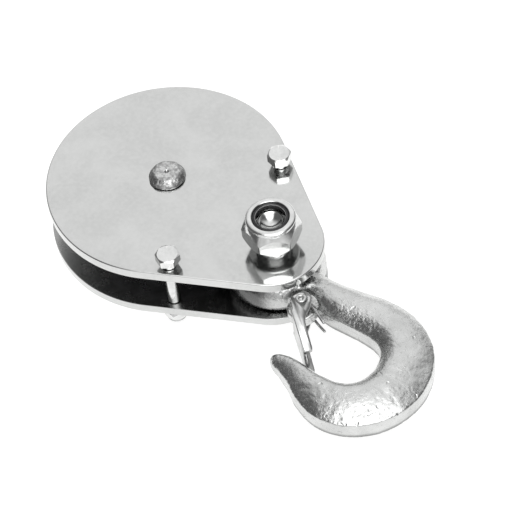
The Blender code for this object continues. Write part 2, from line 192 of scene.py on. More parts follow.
def tube(path, radius, sides=14):
    """A round wire along a path, with domed ends."""
    sections = []
    normal = None
    count = len(path)
    for k, point in enumerate(path):
        along = (path[min(k + 1, count - 1)] - path[max(k - 1, 0)]).normalized()
        if normal is None:
            normal = along.orthogonal()
        normal = (normal - along * normal.dot(along)).normalized()
        sections.append((point, along, normal, along.cross(normal)))
    dome = (0.35, 0.8)
    plan = [(sections[0], -1.0, share) for share in dome]
    plan += [(section, 0.0, 1.0) for section in sections]
    plan += [(sections[-1], 1.0, share) for share in dome[::-1]]
    turns = [2 * math.pi * i / sides for i in range(sides)]
    rings = []
    for (point, along, normal, side), way, share in plan:
        shift = along * (way * radius * math.sqrt(1 - share**2))
        rings.append([point + shift + (normal * math.cos(a) + side * math.sin(a)) * radius * share
                      for a in turns])
    return skin(rings, cap_ends=True)


def mesh_object(name, shape, place=None, angle=32):
    """Turns a bmesh into a smooth-shaded object whose origin is the row frame's."""
    bmesh.ops.recalc_face_normals(shape, faces=shape.faces)
    mesh = bpy.data.meshes.new(name)
    shape.to_mesh(mesh)
    shape.free()
    if place is not None:
        mesh.transform(place)
    obj = bpy.data.objects.new(name, mesh)
    bpy.context.scene.collection.objects.link(obj)
    smooth(obj, angle)
    return obj


def smooth(obj, angle):
    """Smooth shading, with edges sharper than angle, in degrees, kept crisp."""
    obj.data.shade_smooth()
    obj.data.set_sharp_from_angle(angle=math.radians(angle))


def combine(obj, operation, shape, place=None):
    """Joins or cuts obj with another bmesh, straight away."""
    helper = mesh_object(obj.name + "_tool", shape, place)
    modifier = obj.modifiers.new("combine", "BOOLEAN")
    modifier.operation = operation
    modifier.solver = "EXACT"
    modifier.object = helper
    settle(obj)
    bpy.data.objects.remove(helper, do_unlink=True)


def settle(obj):
    """Replaces obj's mesh by what its modifiers make of it."""
    graph = bpy.context.evaluated_depsgraph_get()
    graph.update()
    mesh = bpy.data.meshes.new_from_object(obj.evaluated_get(graph))
    obj.modifiers.clear()
    obj.data = mesh


def add_bevel(obj, width, segments, angle):
    """Breaks the edges that turn by more than angle, in degrees."""
    modifier = obj.modifiers.new("edges", "BEVEL")
    modifier.width = width
    modifier.segments = segments
    modifier.limit_method = "ANGLE"
    modifier.angle_limit = math.radians(angle)
    modifier.use_clamp_overlap = True
    modifier.harden_normals = True


def clean(obj):
    """Takes out the slivers with no area that a Boolean leaves."""
    same_point = 0.012 * MM
    no_length = 0.001 * MM
    shape = bmesh.new()
    shape.from_mesh(obj.data)
    bmesh.ops.remove_doubles(shape, verts=shape.verts, dist=same_point)
    bmesh.ops.dissolve_degenerate(shape, dist=no_length, edges=shape.edges)
    shape.to_mesh(obj.data)
    shape.free()


def finish_piece(obj, body, material, slot, *nodes):
    """Paints a piece, hides its CAD nodes, and lets it ride on its body if it has one. Its slot is not used.
    """
    clean(obj)
    obj.data.materials.clear()
    obj.data.materials.append(material)
    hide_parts(*nodes)
    if body:
        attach(obj, body)


def roughen(obj, waves, seed, swell=0.0):
    """Moves each point along its normal by an even amount and by layers of noise, each (height, size)."""
    mesh = obj.data
    offset = Vector((seed, 2.7 * seed, 5.1 * seed))
    normals = [vertex.normal.copy() for vertex in mesh.vertices]
    for vertex, normal in zip(mesh.vertices, normals):
        move = sum(height * noise.noise(vertex.co / size + offset) for height, size in waves)
        vertex.co += normal * (swell + move)


# ---------------------------------------------------------------- materials

class Surface:
    """A Principled material that is built up node by node from the object's own coordinates."""

    def __init__(self, name, metallic, specular=0.5):
        self.material = bpy.data.materials.new(name)
        self.material.use_nodes = True
        self.tree = self.material.node_tree
        self.shader = self.tree.nodes["Principled BSDF"]
        self.shader.inputs["Metallic"].default_value = metallic
        self.shader.inputs["Specular IOR Level"].default_value = specular
        self.place = self.tree.nodes.new("ShaderNodeTexCoord").outputs["Object"]
        self.height = None

    def noise(self, size, detail=3.0, roughness=0.55, distortion=0.0):
        """Cloudy values round a half, with lumps about as wide as size."""
        node = self.tree.nodes.new("ShaderNodeTexNoise")
        node.inputs["Scale"].default_value = 1.0 / size
        node.inputs["Detail"].default_value = detail
        node.inputs["Roughness"].default_value = roughness
        node.inputs["Distortion"].default_value = distortion
        self.tree.links.new(self.place, node.inputs["Vector"])
        return node.outputs["Fac"]

    def axis_distance(self, centre):
        """Distance from a line along Z, for lathe rings and for marks round a centre."""
        shift = self.tree.nodes.new("ShaderNodeVectorMath")
        shift.operation = "SUBTRACT"
        shift.inputs[1].default_value = centre
        flat = self.tree.nodes.new("ShaderNodeVectorMath")
        flat.operation = "MULTIPLY"
        flat.inputs[1].default_value = (1.0, 1.0, 0.0)
        length = self.tree.nodes.new("ShaderNodeVectorMath")
        length.operation = "LENGTH"
        self.tree.links.new(self.place, shift.inputs[0])
        self.tree.links.new(shift.outputs["Vector"], flat.inputs[0])
        self.tree.links.new(flat.outputs["Vector"], length.inputs[0])
        return length.outputs["Value"]

    def position(self, axis):
        """Coordinate along X, Y or Z in the row frame."""
        node = self.tree.nodes.new("ShaderNodeSeparateXYZ")
        self.tree.links.new(self.place, node.inputs["Vector"])
        return node.outputs[axis]

    def facing(self, axis):
        """How far the surface faces along an axis, from -1 to 1."""
        normal = self.tree.nodes.new("ShaderNodeNewGeometry").outputs["Normal"]
        node = self.tree.nodes.new("ShaderNodeSeparateXYZ")
        self.tree.links.new(normal, node.inputs["Vector"])
        return node.outputs[axis]

    def remap(self, value, low, high, to_low=0.0, to_high=1.0):
        """A soft step from to_low, where value is low, to to_high, where it is high."""
        node = self.tree.nodes.new("ShaderNodeMapRange")
        node.interpolation_type = "SMOOTHSTEP"
        node.inputs["From Min"].default_value = low
        node.inputs["From Max"].default_value = high
        node.inputs["To Min"].default_value = to_low
        node.inputs["To Max"].default_value = to_high
        self.tree.links.new(value, node.inputs["Value"])
        return node.outputs["Result"]

    def maths(self, operation, *values):
        """Sum, product and the like of numbers and sockets."""
        node = self.tree.nodes.new("ShaderNodeMath")
        node.operation = operation
        for socket, value in zip(node.inputs, values):
            if isinstance(value, (int, float)):
                socket.default_value = value
            else:
                self.tree.links.new(value, socket)
        return node.outputs["Value"]

    def blend(self, share, first, second):
        """A colour between two, each an RGB triple or the result of another blend."""
        node = self.tree.nodes.new("ShaderNodeMix")
        node.data_type = "RGBA"
        self.tree.links.new(share, node.inputs["Factor"])
        first_input, second_input, colour_output = 6, 7, 2
        for index, colour in ((first_input, first), (second_input, second)):
            if isinstance(colour, tuple):
                node.inputs[index].default_value = (*colour, 1.0)
            else:
                self.tree.links.new(colour, node.inputs[index])
        return node.outputs[colour_output]

    def edge_wear(self, low, high):
        """1 on convex edges and 0 on flats."""
        node = self.tree.nodes.new("ShaderNodeNewGeometry")
        return self.remap(node.outputs["Pointiness"], low, high)

    def bump(self, value, depth):
        """Adds relief that is depth high where value is 1, on top of earlier relief."""
        node = self.tree.nodes.new("ShaderNodeBump")
        node.inputs["Strength"].default_value = 1.0
        node.inputs["Distance"].default_value = depth
        self.tree.links.new(value, node.inputs["Height"])
        if self.height:
            self.tree.links.new(self.height, node.inputs["Normal"])
        self.height = node.outputs["Normal"]
        self.tree.links.new(self.height, self.shader.inputs["Normal"])

    def colour(self, value):
        self.tree.links.new(value, self.shader.inputs["Base Color"])

    def roughness(self, value):
        self.tree.links.new(value, self.shader.inputs["Roughness"])


def cheek_zinc():
    """Satin zinc on flat sheet, with painted shade on the inner faces between the cheeks, lighter near the
    hook's eye.
    """
    surface = Surface("cheek_zinc", 1.0)
    clouds = surface.remap(surface.noise(18 * MM, 4.0, 0.6, 0.4), 0.3, 0.7)
    specks = surface.remap(surface.noise(1.6 * MM, 3.0, 0.6), 0.35, 0.75)
    base = surface.blend(clouds, (0.575, 0.580, 0.575), (0.640, 0.645, 0.640))
    plated = surface.blend(surface.maths("MULTIPLY", specks, 0.35), base, (0.69, 0.695, 0.69))
    height = surface.maths("SUBTRACT", surface.position("Z"), SHEAVE_CENTRE.z)
    off_middle = surface.maths("ABSOLUTE", height)
    inner = surface.remap(off_middle, HALF_GAP + 0.06 * MM, HALF_GAP + 0.16 * MM, 1.0, 0.0)
    # Painted shade on the inner faces between the cheeks, cut to a quarter near the hook's eye.
    shade_away_from_eye = surface.remap(surface.axis_distance(HOOK_CENTRE), 19 * MM, 23 * MM, 0.25, 1.0)
    painted_gap_shade = surface.maths("MULTIPLY", inner, shade_away_from_eye)
    surface.colour(surface.blend(surface.maths("MULTIPLY", painted_gap_shade, 0.5), plated, (0.16, 0.16, 0.16)))
    satin = surface.remap(surface.noise(7 * MM, 4.0, 0.6), 0.3, 0.7, 0.10, 0.17)
    surface.roughness(surface.maths("ADD", satin, surface.maths("MULTIPLY", painted_gap_shade, 0.12)))
    surface.bump(surface.noise(9 * MM, 2.0, 0.5), 0.018 * MM)
    surface.bump(surface.noise(0.7 * MM, 2.0, 0.5), 0.003 * MM)
    return surface.material


def hook_zinc():
    """Zinc over a blasted forging: pits, lumps, dents, and painted shade on the eye end between the cheeks
    and on the lower part.
    """
    surface = Surface("hook_zinc", 1.0)
    grain = surface.noise(0.85 * MM, 3.0, 0.6)
    patches = surface.remap(surface.noise(15 * MM, 2.0, 0.5), 0.38, 0.62, 0.35, 1.0)
    clouds = surface.remap(surface.noise(11 * MM, 4.0, 0.6, 0.5), 0.3, 0.7)
    pits = surface.remap(surface.noise(0.9 * MM, 3.0, 0.7, 0.3), 0.60, 0.72)
    base = surface.blend(clouds, (0.56, 0.565, 0.56), (0.68, 0.685, 0.68))
    pitted = surface.blend(surface.maths("MULTIPLY", pits, 0.6), base, (0.30, 0.30, 0.30))
    # Painted shade: dark on the eye end that sits between the cheeks, with a ragged edge, and on the lower
    # part of the hook.
    ragged_reach = surface.maths("ADD", surface.position("X"), surface.maths("MULTIPLY", grain, 4 * MM))
    shade_between_cheeks = surface.remap(ragged_reach, HOOK_CENTRE.x + 8 * MM, HOOK_CENTRE.x + 16 * MM, 0.88, 0.0)
    height = surface.maths("SUBTRACT", surface.position("Z"), HOOK_CENTRE.z)
    underside = surface.remap(height, -2.6 * MM, -1.2 * MM, 0.6, 0.0)
    painted_shade = surface.maths("MAXIMUM", shade_between_cheeks, underside)
    surface.colour(surface.blend(painted_shade, pitted, (0.07, 0.07, 0.07)))
    surface.roughness(surface.remap(grain, 0.3, 0.7, 0.19, 0.31))
    surface.bump(surface.noise(5 * MM, 3.0, 0.55), 0.12 * MM)
    surface.bump(surface.maths("MULTIPLY", grain, patches), 0.20 * MM)
    surface.bump(surface.maths("MULTIPLY", pits, -1.0), 0.03 * MM)
    dents = surface.remap(surface.noise(3.2 * MM, 1.0, 0.5), 0.66, 0.76)
    surface.bump(surface.maths("MULTIPLY", dents, -1.0), 0.14 * MM)
    return surface.material


def bright_zinc():
    """Bright zinc on machined fasteners: worn edges, small nicks, and painted shade on faces that point down.
    """
    surface = Surface("bright_zinc", 1.0)
    clouds = surface.remap(surface.noise(3 * MM, 3.0, 0.6), 0.3, 0.7)
    base = surface.blend(clouds, (0.66, 0.665, 0.66), (0.76, 0.765, 0.76))
    worn = surface.blend(surface.edge_wear(0.52, 0.60), base, (0.84, 0.84, 0.83))
    # Painted shade on faces that point down, darkest where they face straight down.
    painted_underside_shade = surface.remap(surface.facing("Z"), -0.9, -0.4, 0.8, 0.0)
    surface.colour(surface.blend(painted_underside_shade, worn, (0.22, 0.22, 0.22)))
    surface.roughness(surface.remap(surface.noise(1.4 * MM, 3.0, 0.6), 0.3, 0.7, 0.10, 0.19))
    surface.bump(surface.noise(2.4 * MM, 3.0, 0.55), 0.03 * MM)
    surface.bump(surface.noise(0.5 * MM, 2.0, 0.6), 0.006 * MM)
    return surface.material


def peened_zinc():
    """Hammered rivet head: lumpy, with dark plating in the hollows."""
    surface = Surface("peened_zinc", 1.0)
    lumps = surface.noise(1.5 * MM, 4.0, 0.65, 0.4)
    base = surface.blend(surface.remap(lumps, 0.40, 0.58), (0.34, 0.34, 0.34), (0.62, 0.625, 0.62))
    surface.colour(base)
    surface.roughness(surface.remap(lumps, 0.3, 0.7, 0.36, 0.22))
    surface.bump(lumps, 0.16 * MM)
    surface.bump(surface.noise(0.5 * MM, 3.0, 0.6), 0.02 * MM)
    return surface.material


def latch_zinc():
    """Zinc on pressed sheet, with painted shade on the tongue that rests inside the hook's tip."""
    surface = Surface("latch_zinc", 1.0)
    clouds = surface.remap(surface.noise(4 * MM, 4.0, 0.6, 0.5), 0.3, 0.7)
    plated = surface.blend(clouds, (0.60, 0.605, 0.60), (0.72, 0.725, 0.72))
    tongue_root = 23.0 * MM
    reach = surface.axis_distance(LATCH_CENTRE)
    # Painted shade on the tongue beyond its root, where it sits inside the hook's tip.
    painted_tongue_shade = surface.remap(reach, tongue_root, tongue_root + 0.8 * MM, 0.0, 0.75)
    surface.colour(surface.blend(painted_tongue_shade, plated, (0.24, 0.24, 0.24)))
    surface.roughness(surface.remap(surface.noise(1.2 * MM, 3.0, 0.6), 0.3, 0.7, 0.32, 0.42))
    surface.bump(surface.noise(2.6 * MM, 3.0, 0.6), 0.05 * MM)
    surface.bump(surface.noise(0.5 * MM, 2.0, 0.6), 0.006 * MM)
    return surface.material


def turned_steel(name, centre, dark, light, rough):
    """Steel with the fine rings of a lathe tool about an axis along Z."""
    feed = 0.45 * MM
    surface = Surface(name, 0.9)
    radius = surface.axis_distance(centre)
    rings = surface.maths("SINE", surface.maths("MULTIPLY", radius, 2 * math.pi / feed))
    stain = surface.remap(surface.noise(5 * MM, 4.0, 0.6, 0.6), 0.3, 0.7)
    surface.colour(surface.blend(stain, dark, light))
    surface.roughness(surface.remap(surface.noise(1.8 * MM, 3.0, 0.6), 0.3, 0.7, rough, rough + 0.12))
    surface.bump(rings, 0.006 * MM)
    surface.bump(surface.noise(1.0 * MM, 3.0, 0.6), 0.012 * MM)
    return surface.material


def spring_steel():
    """Drawn wire with faint stains."""
    surface = Surface("spring_steel", 1.0)
    stain = surface.remap(surface.noise(2 * MM, 3.0, 0.6), 0.3, 0.7)
    surface.colour(surface.blend(stain, (0.38, 0.38, 0.385), (0.60, 0.60, 0.60)))
    surface.roughness(surface.remap(surface.noise(0.8 * MM, 3.0, 0.6), 0.3, 0.7, 0.24, 0.38))
    surface.bump(surface.noise(0.5 * MM, 2.0, 0.6), 0.008 * MM)
    return surface.material


def black_nylon(name, centre=None):
    """Black nylon. With a centre, its inner lip is painted paler as a highlight."""
    surface = Surface(name, 0.0)
    grain = surface.remap(surface.noise(0.6 * MM, 3.0, 0.6), 0.3, 0.7)
    black = surface.blend(grain, (0.010, 0.010, 0.011), (0.022, 0.022, 0.023))
    if centre:
        # Painted highlight: a pale ring on the inner lip.
        radius = surface.axis_distance(centre)
        inside = surface.remap(radius, 5.66 * MM, 5.58 * MM)
        outside = surface.remap(radius, 5.46 * MM, 5.50 * MM)
        lip = surface.maths("MULTIPLY", inside, outside)
        black = surface.blend(surface.maths("MULTIPLY", lip, 0.8), black, (0.42, 0.42, 0.42))
    surface.colour(black)
    surface.roughness(surface.remap(grain, 0.0, 1.0, 0.32, 0.46))
    surface.bump(surface.noise(0.5 * MM, 2.0, 0.6), 0.01 * MM)
    return surface.material


# ---------------------------------------------------------------- cheeks, axle and fasteners

def node_centre(node):
    """Middle of a CAD node's box."""
    low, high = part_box(node)
    return (low + high) / 2


def teardrop(inset, steps):
    """The cheek's outline in the row frame, drawn in from its edge by inset."""
    tangent = math.degrees(math.acos((CHEEK_RADIUS - NOSE_RADIUS) / NOSE_OFFSET))
    nose_centre = SHEAVE_CENTRE + Vector((NOSE_OFFSET, 0, 0))
    body = arc(SHEAVE_CENTRE, CHEEK_RADIUS - inset, tangent, 360 - tangent, steps)
    nose = arc(nose_centre, NOSE_RADIUS - inset, -tangent, tangent, steps // 2)
    return body + nose


def add_cheek(node, material):
    """Sheared plate: a rolled edge on the outer side, a crisper one inside, and drilled holes."""
    low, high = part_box(node)
    outer_up = low.z > SHEAVE_CENTRE.z
    rolled = 0.55 * MM
    crisp = 0.18 * MM
    land = 0.3 * MM
    top, bottom = (rolled, crisp) if outer_up else (crisp, rolled)
    rows = []
    for radius, level, way in ((bottom, low.z, 1), (top, high.z, -1)):
        spans = [math.radians(90 * i / 5) for i in range(6)]
        edge = [(radius + land, level)]
        edge += [(radius * (1 - math.sin(a)), level + way * radius * (1 - math.cos(a))) for a in spans]
        rows += edge if way > 0 else edge[::-1]
    shape = skin([[(x, y, z) for x, y in teardrop(inset, 180)] for inset, z in rows], cap_ends=True)
    cheek = mesh_object(node + "_plate", shape)
    holes = [(SHEAVE_CENTRE, 6.3 * MM), (HOOK_CENTRE, 6.4 * MM)]
    holes += [(node_centre("guard_bolt_" + side), 2.8 * MM) for side in ("left", "right")]
    for centre, radius in holes:
        combine(cheek, "DIFFERENCE", prism(hole_rim(centre, radius, 48), low.z - MM, high.z + MM))
    smooth(cheek, 32)
    finish_piece(cheek, "block", material, "cheek_zinc", node)


def add_axle(material):
    """Riveted axle with hammered heads and a centre punch mark in each."""
    low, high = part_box("sheave_axle")
    middle = (low.z + high.z) / 2
    half = (high.z - low.z) / 2
    head = 3.0 * MM
    shank_radius = 6.0 * MM
    side = [(0.02 * MM, half - 0.75 * MM), (0.35 * MM, half - 0.5 * MM), (0.9 * MM, half - 0.08 * MM)]
    side += [(1.7 * MM, half - 0.02 * MM), (3.2 * MM, half - 0.03 * MM), (4.4 * MM, half - 0.14 * MM)]
    side += [(5.3 * MM, half - 0.62 * MM), (6.1 * MM, half - 1.35 * MM), (6.6 * MM, half - 2.1 * MM)]
    side += [(6.75 * MM, half - 2.6 * MM), (6.66 * MM, half - head + 0.05 * MM), (shank_radius, half - head)]
    path = [(p.x, p.y) for p in smooth_path(side[:-1], 4)] + [side[-1]]
    shank = [(shank_radius, half - head - (2 * (half - head)) * i / 40) for i in range(1, 40)]
    profile = path + shank + [(r, -z) for r, z in path[::-1]]
    rows = [circle(r, z, 96) for r, z in profile]
    centre = Matrix.Translation((SHEAVE_CENTRE.x, SHEAVE_CENTRE.y, middle))
    axle = mesh_object("sheave_axle_rivet", skin(rows, cap_ends=True), centre)
    hammer_marks = [(0.22 * MM, 2.2 * MM), (0.10 * MM, 0.9 * MM)]
    roughen(axle, hammer_marks, 3.0)
    for vertex in axle.data.vertices:
        vertex.co.z = min(max(vertex.co.z, low.z), high.z)
    smooth(axle, 50)
    finish_piece(axle, "block", material, "fastener_zinc", "sheave_axle")


def thread_rows(radius, pitch, low, high, steps):
    """Rows of points for a right-hand vee thread, fading out at both ends."""
    depth = 0.6 * pitch
    rows = []
    count = max(2, int((high - low) / pitch * 10))
    for k in range(count + 1):
        z = low + (high - low) * k / count
        fade = min(1.0, (z - low) / pitch, (high - z) / (0.8 * pitch))
        row = []
        for i in range(steps):
            turn = i / steps
            phase = (z / pitch - turn) % 1.0
            groove = min(1.0, max(0.0, 1.25 - abs(phase - 0.5) * 2.5))
            reach = radius - depth * groove * max(fade, 0.0)
            angle = 2 * math.pi * turn
            row.append((reach * math.cos(angle), reach * math.sin(angle), z))
        rows.append(row)
    return rows


def chamfered_head(across, chamfer):
    """Profile of a hexagon's end: a flat face that slopes off at 30 degrees towards its corners."""
    corner = across / math.sqrt(3)
    flat = chamfer * across / 2
    return [(flat, 0.0), (corner, (corner - flat) * math.tan(math.radians(30)))]


def fastener_place(node, up):
    """Matrix from a fastener's own frame, with Z along it from its first face, to the row frame."""
    low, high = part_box(node)
    centre = node_centre(node)
    place = Matrix.Translation((centre.x, centre.y, low.z if up else high.z))
    if not up:
        place = place @ Matrix.Rotation(math.pi, 4, "X")
    return place


def add_bolt(node, size, pitch, across, head, thread_length, face_angle, up, material):
    """Hexagon bolt: chamfered head with a washer face, plain shank, rolled thread and a dished end."""
    steps = 144
    low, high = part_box(node)
    length = high.z - low.z
    radius = size / 2
    face = chamfered_head(across, 0.93)
    profile = [(0.02 * MM, 0.08 * MM), (0.3 * across, 0.05 * MM), (face[0][0] - 0.3 * MM, 0.0), *face]
    profile += [(across / math.sqrt(3), head - 0.25 * MM), (0.47 * across, head - 0.25 * MM)]
    profile += [(0.46 * across, head), (radius + 0.25 * MM, head), (radius, head + 0.25 * MM)]
    rows = [circle(reach, z, steps) for reach, z in profile]
    thread_end = length - 0.28 * radius
    rows += thread_rows(radius, pitch, thread_end - thread_length, thread_end, steps)
    end = [(0.82, 0.22), (0.815, 0.10), (0.77, 0.03), (0.72, 0.0), (0.68, 0.02), (0.6, 0.09), (0.45, 0.20)]
    end += [(0.25, 0.29), (0.1, 0.32), (0.01, 0.32)]
    rows += [circle(share * radius, length - drop * radius, steps) for share, drop in end]
    bolt = mesh_object(node + "_screw", skin(rows, cap_ends=True), None, 28)
    combine(bolt, "INTERSECT", prism(hexagon(across, face_angle), -2 * MM, length + 2 * MM))
    bolt.data.transform(fastener_place(node, up))
    smooth(bolt, 26)
    finish_piece(bolt, "block", material, "fastener_zinc", node)


def add_nut(node, size, across, face_angle, up, material, nylon):
    """Lock nut: chamfered hexagon, waist, rolled crown and the nylon ring that it holds."""
    low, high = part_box(node)
    height = high.z - low.z
    unit = across / 19.0
    bore = size / 2 + 0.12 * MM
    flats = [(6.6, 0.0), (8.7, 0.0), (8.95, 0.02), (8.95, 0.07), (10.97, 0.275), (10.97, 0.52), (8.78, 0.815)]
    waist = [(8.62, 0.828), (8.60, 0.842), (8.74, 0.858)]
    crown = [(8.96, 0.885), (9.06, 0.915), (9.00, 0.945), (8.78, 0.970), (8.42, 0.987), (7.95, 0.997)]
    crown += [(7.40, 1.0), (7.00, 0.995), (6.78, 0.980), (6.66, 0.955)]
    profile = [(reach * unit, share * height) for reach, share in flats + waist + crown]
    profile += [(6.62 * unit, 0.735 * height), (bore, 0.725 * height), (bore, 0.5 * unit)]
    place = fastener_place(node, up)
    nut = mesh_object(node + "_hexagon", revolved(profile), None, 28)
    combine(nut, "INTERSECT", prism(hexagon(across, face_angle), -2 * MM, height + 2 * MM))
    nut.data.transform(place)
    smooth(nut, 26)
    finish_piece(nut, "block", material, "fastener_zinc", node)

    ring = [(6.56, 0.755), (6.56, 0.950), (6.40, 0.962), (5.75, 0.962), (5.62, 0.968), (5.52, 0.964),
            (5.44, 0.945), (5.44, 0.775), (5.56, 0.755)]
    lip = revolved([(reach * unit, share * height) for reach, share in ring])
    insert = mesh_object(node + "_nylon", lip, place, 50)
    finish_piece(insert, "block", nylon, "nylon", node + "_insert")


def add_fasteners(zinc, nylon):
    """M12 hook bolt from below with its nut on top, and two M5 guard bolts from above."""
    # Nylon for the hook nut, with a painted highlight on its inner lip.
    lip_highlit = black_nylon("scuffed_nylon", HOOK_CENTRE)
    m12 = {"size": 12 * MM, "across": 19 * MM}
    m5 = {"size": 5 * MM, "across": 8 * MM}
    add_bolt("hook_bolt", **m12, pitch=1.75 * MM, head=7.2 * MM, thread_length=18 * MM,
             face_angle=0.0, up=True, material=zinc)
    add_nut("hook_nut", **m12, face_angle=-42.4, up=True, material=zinc, nylon=lip_highlit)
    for side, angle in (("left", 38.0), ("right", 50.0)):
        add_bolt("guard_bolt_" + side, **m5, pitch=0.8 * MM, head=3.6 * MM, thread_length=7 * MM,
                 face_angle=angle, up=False, material=zinc)
        add_nut("guard_nut_" + side, **m5, face_angle=30.0, up=False, material=zinc, nylon=nylon)


# ---------------------------------------------------------------- sheave and hidden parts

def add_sheave(material):
    """Turned wheel with a round-bottomed rope groove, rounded rims and recessed webs."""
    half = 6.0 * MM
    web = half - 1.5 * MM
    bore = 12.6 * MM
    seat = 14.3 * MM
    slot = seat + 0.9 * MM
    shoulder = 4.3 * MM
    rope_line = 28.6 * MM
    rim = 32.0 * MM
    recess = [(18.5 * MM, half), (20.0 * MM, web), (23.5 * MM, web), (25.0 * MM, half)]
    flange = [(rim, half, 0.6 * MM), (rim, 4.9 * MM, 0.5 * MM)]
    lower = [(bore, -half)] + [(r, -z, *own) for r, z, *own in recess + flange]
    groove = [(rope_line - z, r, 0.0) for r, z in arc((0.0, 0.0), 3.2 * MM, 160, 20, 24)]
    upper = flange[::-1] + recess[::-1]
    inner = [(seat, half), (seat, 5.5 * MM), (slot, 5.5 * MM), (slot, shoulder), (seat, shoulder)]
    inner += [(seat, -shoulder), (bore, -shoulder)]
    profile = rounded(lower + groove + upper + inner, 0.25 * MM)
    place = Matrix.Translation(SHEAVE_CENTRE)
    wheel = mesh_object("sheave_wheel_turned", revolved(profile, 160), place, 40)
    finish_piece(wheel, "sheave_wheel", material, "sheave_steel", "sheave")


def dress_hidden_parts(steel, bearing, spring):
    """CAD pieces inside the block keep their shape and get worked materials."""
    same_point = 0.002 * MM
    finishes = {
        steel: ["axle_spacer_lower", "axle_spacer_upper", "hook_bush"],
        bearing: ["bearing_inner_race", "bearing_outer_race", "bearing_shield_lower",
                  "bearing_shield_upper"],
        spring: ["bearing_cage", "bearing_retaining_ring"],
    }
    finishes[bearing] += sorted(name for name in frame["nodes"] if name.startswith("bearing_ball"))
    for material, names in finishes.items():
        for name in names:
            node = frame["nodes"][name]
            node.data.materials.clear()
            node.data.materials.append(material)
            weld = node.modifiers.new("weld", "WELD")
            weld.merge_threshold = same_point
            node.data.shade_smooth()


# ---------------------------------------------------------------- hook and latch

def hook_placement():
    """Matrix from the hook's own frame, u from eye to bowl, to the row frame."""
    reach = LATCH_CENTRE - HOOK_CENTRE
    turn = math.atan2(reach.y, reach.x) - math.atan2(HOOK_LOCAL_LATCH.y, HOOK_LOCAL_LATCH.x)
    return Matrix.Translation(HOOK_CENTRE) @ Matrix.Rotation(turn, 4, "Z")


def hook_rows():
    """Sections along the hook's spine: upright walls, and crowns whose ridge leans in round the bowl."""
    # Along and across the hook's own frame, then half width and half depth, all in millimetres.
    stations = [
        (14.0, 3.6, 6.2, 5.8), (21.0, 6.0, 6.2, 6.2), (28.5, 8.6, 7.1, 6.8), (34.8, 11.9, 7.7, 7.0),
        (41.5, 15.4, 8.3, 7.0), (48.6, 18.1, 8.6, 7.0), (55.3, 18.5, 8.8, 7.0), (61.7, 16.6, 9.3, 7.0),
        (67.1, 12.2, 9.6, 7.0), (71.0, 6.1, 9.8, 7.0), (72.5, -1.0, 9.7, 7.0), (71.5, -7.7, 9.4, 7.0),
        (68.1, -13.6, 9.0, 7.0), (62.5, -17.6, 8.1, 7.0), (55.6, -19.5, 6.5, 6.7), (49.0, -19.9, 4.9, 6.0),
        (43.0, -20.7, 3.9, 5.0), (38.6, -22.0, 2.9, 3.9), (36.4, -22.6, 1.9, 2.8), (35.3, -22.9, 0.9, 1.5),
    ]
    most_lean = 0.45
    lean_from = 0.27
    lean_over = 0.17
    upright_over = 0.12
    fullness = 2.4
    thinning = 1.4
    curve = smooth_path(stations, 6)
    spread = [math.cos(math.pi * i / 20) for i in range(21)]
    rows = []
    for k, (u, v, half_width, half_depth) in enumerate(curve):
        before = curve[max(k - 1, 0)]
        after = curve[min(k + 1, len(curve) - 1)]
        across = Vector((before[1] - after[1], after[0] - before[0])).normalized()
        share = k / (len(curve) - 1)
        leaning = min(max((share - lean_from) / lean_over, 0.0), 1.0)
        ridge = -most_lean * leaning * min((1.0 - share) / upright_over, 1.0)
        roundness = fullness + thinning * ridge
        wall = WALL_SHARE * half_depth
        profile = []
        for s in spread:
            fall = (s - ridge) / (1.0 - ridge if s > ridge else 1.0 + ridge)
            profile.append((s * half_width, wall + (half_depth - wall) * (1 - abs(fall) ** roundness)))
        profile += [(side, -height) for side, height in profile[::-1]]
        rows.append([((u + across.x * side) * MM, (v + across.y * side) * MM, height * MM)
                     for side, height in profile])
    return rows


